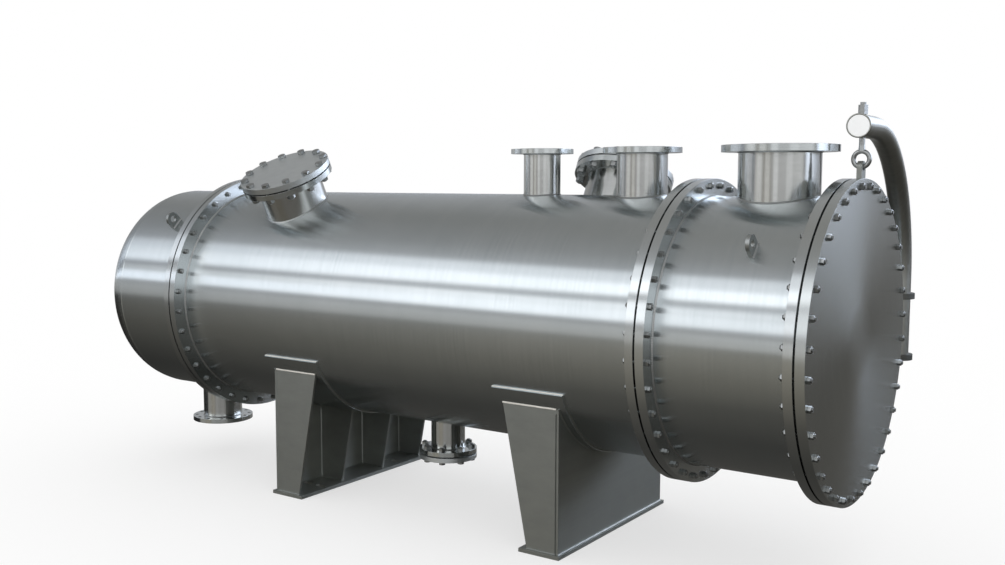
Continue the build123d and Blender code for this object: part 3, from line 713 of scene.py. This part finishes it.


# the beads collected here get the weld colour with the painted highlight
bright_edges = []
for side, (middle, face) in SADDLES.items():
    beads = []
    low, high = sorted(middle + face * x for x in WEAR_X)
    beads.append(arc_below(low, SHELL_R, WEAR_HALF_ANGLE, -1.0, WEAR_LEG))
    beads.append(arc_below(high, SHELL_R, WEAR_HALF_ANGLE, 1.0, WEAR_LEG))
    web_face = middle + face * WEB_RIB_SIDE_X
    rib_low, rib_high = sorted((web_face, middle + face * RIB_TIP_X))
    for sign in (1, -1):
        bright_edges += [wear_edge(low, high, sign), rib_top(rib_low, rib_high, sign)]
    for x, away, reach_y in WEB_SIDES:
        at = middle + face * x
        web_angle = math.degrees(math.asin(reach_y / WEAR_R))
        beads.append(arc_below(at, WEAR_R, web_angle, face * away, WEB_LEG))
        beads.append(straight((at, -reach_y, BASE_TOP), (at, reach_y, BASE_TOP),
                              (face * away, 0, 0), (0, 0, 1), WEB_LEG))
    for y in RIB_Y:
        outer_y = max(abs(y), abs(y + RIB_THICK))
        top = AXIS_Z - math.sqrt(WEAR_R ** 2 - outer_y ** 2) - RIB_SEAM_SHORT
        for edge, away in ((y, -1.0), (y + RIB_THICK, 1.0)):
            corner = (web_face, edge, BASE_TOP)
            foot = (middle + face * RIB_FOOT_X, edge, BASE_TOP)
            beads.append(straight(corner, (web_face, edge, top), (0, away, 0), (-face, 0, 0), RIB_LEG))
            beads.append(straight(foot, corner, (0, away, 0), (0, 0, 1), RIB_LEG))
    make_piece(side + "_saddle_weld_beads", joined(*beads), plate_weld, "exchanger",
               ROUND)

make_piece("wear_plate_edge_beads", joined(*bright_edges), bright_weld, "exchanger",
           ROUND)

EYES = ((878.0, 48.5), (878.0, -48.5), (-2382.0, 46.0), (-2382.0, -46.0))
EYE_HALF_THICK, EYE_HALF_WIDE = 8.0, 35.0
EYE_STEPS = 28
half = math.degrees(EYE_HALF_WIDE / SHELL_R)
eye_beads = []
for x, lean in EYES:
    angles = -np.radians(np.linspace(-half, half, EYE_STEPS) + lean)
    for sign in (1.0, -1.0):
        eye_beads.append(bead_about_shell(x + sign * EYE_HALF_THICK, SHELL_R, angles, sign, EYE_LEG))
make_piece("lifting_eye_weld_beads", joined(*eye_beads), weld_steel, "exchanger", ROUND)

# %% [markdown]
# ## The rim of the davit's end cap
# The white plate that closes the davit pipe is as wide as the pipe, and a small bead joins the two.
# The bead is left in bare metal, which draws the thin grey ring round the white disc. Its outline is
# given as how far it stands out of the pipe's surface, and where along the pipe: from behind the cap
# to over its rim.

# %% End cap bead
CAP_MIDDLE = (1136.7, -55.9, 1778.0)
CAP_WAY = (0.0489, -0.9988, 0.0)
CAP_R = 44.45
CAP_BEAD = [(-0.6, -4.0), (1.2, -3.0), (1.8, 0.0), (1.8, 5.0), (0.4, 6.9), (-2.6, 6.9), (-5.0, 5.7),
            (-0.6, -4.0)]
CAP_STEPS = 72
cap_outline = [(CAP_R + proud, along) for proud, along in CAP_BEAD]
cap_bead = copies(turned(cap_outline, CAP_STEPS), [placed(CAP_MIDDLE, CAP_WAY)])
make_piece("davit_cap_weld_bead", cap_bead, davit_steel, "cover_and_davit", ROUND)

# %% [markdown]
# ## Tube ends and the tube bundle
# Behind the cover, the tubesheet is a field of tube ends: 25 mm tubes on a 32 mm triangular pitch,
# each standing a little proud of the sheet. The dark in each bore is painted shade: a dark disc sits
# just inside the tube end. The field shows when the cover swings away. Inside the shell the same
# tubes show through the open nozzles, as plain round bars.

# %% Tubes
TUBE_R, TUBE_BORE, PITCH, FIELD_R = 12.7, 10.6, 32.0, 515.0
LIP_PROUD, LIP_CUT_IN, LIP_CUT_DOWN = 3.2, 0.5, 0.6
BORE_FLOOR, BORE_OVERLAP = 0.7, 0.1
LIP_STEPS, BORE_STEPS, BAR_STEPS = 14, 12, 8
row_height = PITCH * math.sqrt(3) / 2
reach_rows = int(FIELD_R / row_height) + 1
reach_steps = int(FIELD_R / PITCH) + 1
spots = []
for row in range(-reach_rows, reach_rows + 1):
    for step in range(-reach_steps, reach_steps + 1):
        y = (step + 0.5 * (row % 2)) * PITCH
        z = row * row_height
        if math.hypot(y, z) < FIELD_R - TUBE_R:
            spots.append((y, AXIS_Z + z))


def at_spots(shape, x):
    """The shape once for every tube, on the plane x."""
    return copies(shape, [placed((x, y, z), (1, 0, 0)) for y, z in spots])


sheet_x = JOINTS["channel"] + SEAT
lip = turned([(TUBE_R, 0.0), (TUBE_R, LIP_PROUD - LIP_CUT_DOWN), (TUBE_R - LIP_CUT_IN, LIP_PROUD),
              (TUBE_BORE, LIP_PROUD), (TUBE_BORE, BORE_FLOOR - BORE_OVERLAP)], LIP_STEPS)
make_piece("tube_ends", at_spots(lip, sheet_x), tube_steel, "exchanger")
# painted shade: a dark disc just inside each tube end stands in for the shade deep in the tube
bore = turned([(0.0, BORE_FLOOR), (TUBE_BORE, BORE_FLOOR)], BORE_STEPS)
make_piece("tube_bore_shade_discs", at_spots(bore, sheet_x), gasket_fibre, "exchanger")
bundle_low, bundle_high = JOINTS["bonnet"] + SEAT, JOINTS["channel"] - SEAT
bar = turned([(TUBE_R, 0.0), (TUBE_R, bundle_high - bundle_low)], BAR_STEPS)
make_piece("tube_bundle", at_spots(bar, bundle_low), tube_steel, "exchanger", ROUND)
print(len(spots), "tubes")

# %% [markdown]
# ## Floor and light
# The floor is pure white and the world lights it with an even white of strength 1, so that it shows
# as white without any extra lamp, and the object's own shadow stays under it. A large object shades
# a wide floor, more than a cut-out picture shows, so the camera alone sees the floor part lit: a
# share of a plain white of strength 1 is mixed in by the Is Camera Ray output.

# %% World and floor
FLOOR_HALF, FLOOR_Z = 90, -0.001
LIT_SHARE = 0.6

world = bpy.data.worlds.new("even_white_studio")
bpy.context.scene.world = world
world.use_nodes = True
world.node_tree.nodes.clear()
sky = add(world.node_tree, "ShaderNodeBackground", {"Color": (1, 1, 1, 1), "Strength": 1.0})
add(world.node_tree, "ShaderNodeOutputWorld", {"Surface": sky.outputs[0]})

floor_finish, ground = new_finish("white_studio_floor")
floor_paint = add(ground, "ShaderNodeBsdfDiffuse", {"Color": linear("#ffffff")})
floor_white = add(ground, "ShaderNodeEmission", {"Color": (1, 1, 1, 1), "Strength": 1.0})
floor_ray = add(ground, "ShaderNodeLightPath")
floor_share = add(ground, "ShaderNodeMath", {0: floor_ray.outputs["Is Camera Ray"], 1: LIT_SHARE},
                  operation="MULTIPLY")
floor_mix = add(ground, "ShaderNodeMixShader",
                {0: floor_share.outputs[0], 1: floor_paint.outputs[0], 2: floor_white.outputs[0]})
add(ground, "ShaderNodeOutputMaterial", {"Surface": floor_mix.outputs[0]})
floor_mesh = bpy.data.meshes.new("studio_floor")
corners = [(x * FLOOR_HALF, y * FLOOR_HALF, FLOOR_Z) for x, y in ((-1, -1), (1, -1), (1, 1), (-1, 1))]
floor_mesh.from_pydata(corners, [], [(0, 1, 2, 3)])
floor_mesh.materials.append(floor_finish)
floor = bpy.data.objects.new("studio_floor", floor_mesh)
bpy.context.scene.collection.objects.link(floor)
floor.visible_glossy = False
print("floor and world ready")

# %% [markdown]
# ## What the polished steel reflects
# Polished steel has hardly any look of its own: it shows the room. In an all white room it would be
# a flat white. Photographers stand strip lights and grey cards round it, parallel to a long barrel,
# and that is built here as a large tent round the object. Its brightness goes by the angle about
# the shell's middle line, where 0 is level and to the front and 90 is straight up: bright strips
# from 10 to 55 degrees, mid grey overhead, dark near the ground. Strips are of finite length, so
# there are five rows of them: for the bonnet, for the left end of the shell where the low strip
# runs out, for the rest of it, for the channel, and for its flat cover, which has one more strip
# behind. Upright cards stand near the horizon, for the pipes, and their angles go about a plumb
# line. Only reflections see the tent. The camera and matt surfaces look straight through it.
# A stop is (angle, strength, warmth): a warmth above 0 is warm, one below is cool.

# %% Greys of the tent
SHELL_ROW = [(-180, 0.42, -0.6), (-172, 0.36, 0.0), (-166, 0.2, 0.6), (-150, 0.07, 1.0), (-90, 0.06, 1.0),
             (-60, 0.12, 1.4), (-35, 0.2, 1.4), (-16, 0.3, 1.0), (-6, 0.4, 0.3), (2, 0.5, 0.0),
             (8, 0.56, -0.2), (10.5, 2.2, -0.4), (24, 2.3, -0.4), (26, 0.7, -0.4), (30, 0.65, -0.4),
             (32, 1.9, -0.4), (43, 1.85, -0.5), (45, 1.45, -0.6), (52, 1.35, -0.6), (56, 0.62, -0.4),
             (73, 0.4, -0.2), (88, 0.33, 0.0), (108, 0.28, 0.2), (130, 0.4, 0.0), (160, 0.48, -0.6),
             (180, 0.42, -0.6)]
LEFT_END_ROW = [(-180, 0.42, -0.6), (-172, 0.36, 0.0), (-166, 0.2, 0.6), (-150, 0.06, 1.0), (-90, 0.05, 1.0),
                (-60, 0.12, 1.4), (-35, 0.2, 1.4), (-16, 0.3, 1.0), (-6, 0.4, 0.3), (2, 0.48, 0.0),
                (9, 0.5, -0.2), (14, 0.62, -0.3), (24, 0.7, -0.4), (30, 0.7, -0.4),
                (32, 1.7, -0.4), (46, 1.7, -0.5), (50, 1.3, -0.6), (58, 1.2, -0.6), (61, 0.62, -0.4),
                (75, 0.42, -0.2), (88, 0.33, 0.0), (108, 0.28, 0.2), (130, 0.4, 0.0), (160, 0.48, -0.6),
                (180, 0.42, -0.6)]
CHANNEL_ROW = [(-180, 0.42, -0.6), (-172, 0.36, 0.0), (-166, 0.2, 0.6), (-150, 0.07, 1.0), (-90, 0.06, 1.0),
               (-55, 0.09, 1.4), (-30, 0.21, 2.0), (-12, 0.3, 2.0), (-1, 0.32, 1.4), (6, 0.38, 0.4),
               (9, 0.46, -0.2), (11, 1.2, -0.5), (17, 1.2, -0.5), (19, 0.9, -0.5), (22, 1.1, -0.5),
               (25, 1.1, -0.5), (27, 0.45, -0.5), (30, 0.45, -0.5), (32, 1.9, -0.4), (39, 1.9, -0.5),
               (41, 1.15, -0.6), (50, 1.1, -0.6), (53, 0.46, -0.4), (66, 0.36, 0.2), (88, 0.33, 0.6),
               (108, 0.36, 0.3), (130, 0.44, 0.0), (160, 0.5, -0.6), (180, 0.42, -0.6)]
BONNET_ROW = [(-180, 0.3, -0.5), (-150, 0.05, 0.6), (-90, 0.01, 0.4), (-40, 0.01, 0.2), (-16, 0.02, 0.0),
              (-9, 0.05, 0.0), (1, 0.16, -0.8), (10, 0.2, -1.6), (12.5, 1.6, -1.6), (21, 1.7, -1.6),
              (23, 0.08, -2.2), (35, 0.08, -2.2), (37, 1.0, -1.9), (43, 1.0, -1.9), (46, 0.55, -2.2),
              (51, 0.6, -2.2), (53, 0.85, -2.0), (58, 0.75, -2.0), (61, 0.44, -1.8), (75, 0.35, -1.2),
              (100, 0.3, -0.5), (140, 0.4, 0.0), (180, 0.3, -0.5)]
COVER_ROW = [(-180, 0.38, -0.8), (-176, 0.22, 0.2), (-171, 0.12, 0.9), (-166, 0.1, 1.1), (-150, 0.08, 1.1),
             (-90, 0.07, 1.0), (-30, 0.18, 0.8), (0, 0.4, 0.0), (10, 1.2, -0.5), (40, 1.2, -0.5),
             (60, 0.5, -0.2), (110, 0.4, -0.4), (145, 0.5, -0.6), (152, 3.6, -2.4), (170, 3.6, -2.4),
             (173, 0.5, -1.2), (180, 0.38, -0.8)]
UPRIGHT_CARDS = [(-180, 0.0, 0.0), (-130, 0.0, 0.0), (-110, 0.3, 0.0), (-88, 0.4, 0.3), (-62, 0.4, 0.3),
                 (-59, 0.1, 0.0), (-50, 0.1, 0.0), (-47, 0.25, 0.0), (-30, 0.25, 0.0), (-27, 0.0, 0.0),
                 (-20, 0.0, 0.0), (-17, 0.6, -0.5), (-6, 0.6, -0.5), (-4, -0.05, 0.0), (4, -0.05, 0.0),
                 (6, 0.5, -0.5), (16, 0.5, -0.5), (19, -0.1, 0.0), (38, -0.2, 0.0), (41, 0.35, -0.5),
                 (54, 0.35, -0.5), (58, 0.05, 0.0), (98, 0.15, 0.0), (122, 0.1, 0.3), (128, -0.1, 0.0),
                 (160, 0.0, 0.0), (180, 0.0, 0.0)]
TENT_RADIUS = 60.0
print(len(SHELL_ROW), len(CHANNEL_ROW), len(BONNET_ROW), len(COVER_ROW), "greys in the rows")

# %% [markdown]
# ## The tent as one material
# The tent is one ball whose glow is worked out from the direction alone, so no cards have to be
# placed. Each row is a colour ramp over the angle about the shell. A blend by how far a direction
# points left or right picks the row. The upright cards are added in a low belt near the horizon.

# %% Reflection tent
TENT_MIDDLE = (-0.9, 0.0, AXIS_Z * MM)
TENT_STEP, TENT_STEPS, TENT_POLE = 5, 72, 0.02
WARM_RED, WARM_BLUE = 0.04, 0.08
NEXT_ROWS = ((LEFT_END_ROW, -0.79, -0.76), (SHELL_ROW, -0.71, -0.65), (CHANNEL_ROW, -0.47, -0.4),
             (COVER_ROW, -0.1, 0.1))
BELT_TOP, BELT_FOOT = (0.09, 0.05), (-0.11, -0.06)

tent_paint, tent = new_finish("grey_card_tent")
tent_place = add(tent, "ShaderNodeTexCoord")
tent_way = add(tent, "ShaderNodeVectorMath", {0: tent_place.outputs["Object"]}, operation="NORMALIZE")
tent_xyz = add(tent, "ShaderNodeSeparateXYZ", {0: tent_way.outputs[0]})
left_right, back, height = (tent_xyz.outputs[axis] for axis in "XYZ")
front = add(tent, "ShaderNodeMath", {0: back, 1: -1.0}, operation="MULTIPLY").outputs[0]
about_x = add(tent, "ShaderNodeMath", {0: height, 1: front}, operation="ARCTAN2").outputs[0]
about_z = add(tent, "ShaderNodeMath", {0: left_right, 1: front}, operation="ARCTAN2").outputs[0]


def share_of(value, none_at, all_at):
    """A socket that goes from 0 to 1 as the value goes from none_at to all_at."""
    limits = {"Value": value, "From Min": none_at, "From Max": all_at}
    return add(tent, "ShaderNodeMapRange", limits).outputs[0]


def painted_ramp(angle, stops):
    """The colour of a row of stops at an angle."""
    ramp = add(tent, "ShaderNodeValToRGB", {"Fac": share_of(angle, -math.pi, math.pi)})
    while len(ramp.color_ramp.elements) < len(stops):
        ramp.color_ramp.elements.new(0.5)
    for element, stop in zip(ramp.color_ramp.elements, stops):
        element.position = (stop[0] + 180) / 360
    for element, (_, strength, warmth) in zip(ramp.color_ramp.elements, stops):
        red, blue = strength * (1 + WARM_RED * warmth), strength * (1 - WARM_BLUE * warmth)
        element.color = (red, strength, blue, 1)
    return ramp.outputs[0]


row_light = painted_ramp(about_x, BONNET_ROW)
for stops, low, high in NEXT_ROWS:
    blend = add(tent, "ShaderNodeMix", {"Factor": share_of(left_right, low, high), 6: row_light,
                                        7: painted_ramp(about_x, stops)}, data_type="RGBA")
    row_light = blend.outputs[2]
in_belt = add(tent, "ShaderNodeMath", {0: share_of(height, *BELT_TOP), 1: share_of(height, *BELT_FOOT)},
              operation="MULTIPLY")
cards = painted_ramp(about_z, UPRIGHT_CARDS)
card_light = add(tent, "ShaderNodeVectorMath", {0: cards, "Scale": in_belt.outputs[0]}, operation="SCALE")
total = add(tent, "ShaderNodeVectorMath", {0: row_light, 1: card_light.outputs[0]}, operation="ADD")
glow = add(tent, "ShaderNodeEmission", {"Color": total.outputs[0], "Strength": 1.0})
add(tent, "ShaderNodeOutputMaterial", {"Surface": glow.outputs[0]})

lifts = [math.radians(e) for e in range(-90 + TENT_STEP, 90, TENT_STEP)]
sides = [(TENT_RADIUS * math.cos(e), TENT_RADIUS * math.sin(e)) for e in lifts]
ball_points, ball_faces = turned([(TENT_POLE, -TENT_RADIUS), *sides, (TENT_POLE, TENT_RADIUS)], TENT_STEPS)
tent_mesh = bpy.data.meshes.new("reflection_tent")
tent_mesh.from_pydata(ball_points.tolist(), [], ball_faces)
tent_mesh.materials.append(tent_paint)
tent_object = bpy.data.objects.new("reflection_tent", tent_mesh)
tent_object.location = TENT_MIDDLE
bpy.context.scene.collection.objects.link(tent_object)
for way in ("visible_camera", "visible_diffuse", "visible_shadow", "visible_transmission",
            "visible_volume_scatter"):
    setattr(tent_object, way, False)
print("tent ready")

# %% [markdown]
# ## Camera
# The camera stands where the photograph was taken from: in front of the channel end, a little above
# the middle of the shell, about 36 degrees round from the front. Its lens and shift come from a fit of
# known points of the object to the photograph, for a frame of 1005 by 565.

# %% Camera
FRAME_W, FRAME_H = 1005, 565
FOCAL_PX, MIDDLE_PX = 1080.17, (476.494, 284.651)
EYE = Vector((2.3508, -4.2293, 1.5817))
YAW, PITCH_DOWN = 0.62045, 0.098409
SENSOR = 36.0
FAR = 300.0

camera_data = bpy.data.cameras.new("photo_camera")
camera = bpy.data.objects.new("photo_camera", camera_data)
bpy.context.scene.collection.objects.link(camera)
bpy.context.scene.camera = camera
camera_data.sensor_width = SENSOR
camera_data.lens = SENSOR * FOCAL_PX / FRAME_W
camera_data.shift_x = (FRAME_W / 2 - MIDDLE_PX[0]) / FRAME_W
camera_data.shift_y = (MIDDLE_PX[1] - FRAME_H / 2) / FRAME_W
ahead = Vector((-math.sin(YAW) * math.cos(PITCH_DOWN), math.cos(YAW) * math.cos(PITCH_DOWN),
                -math.sin(PITCH_DOWN)))
right = Vector((math.cos(YAW), math.sin(YAW), 0))
above = right.cross(ahead)
camera.matrix_world = Matrix(((right.x, above.x, -ahead.x, EYE.x), (right.y, above.y, -ahead.y, EYE.y),
                              (right.z, above.z, -ahead.z, EYE.z), (0, 0, 0, 1)))
camera_data.clip_end = FAR
bpy.context.scene.view_settings.view_transform = "Standard"
print("lens", round(camera_data.lens, 2), "mm, shift", round(camera_data.shift_x, 4),
      round(camera_data.shift_y, 4))

# %% [markdown]
# The dressed model must stay as large as the CAD model. The last line brings the view layer up to date.

# %% Finish
bpy.context.view_layer.update()
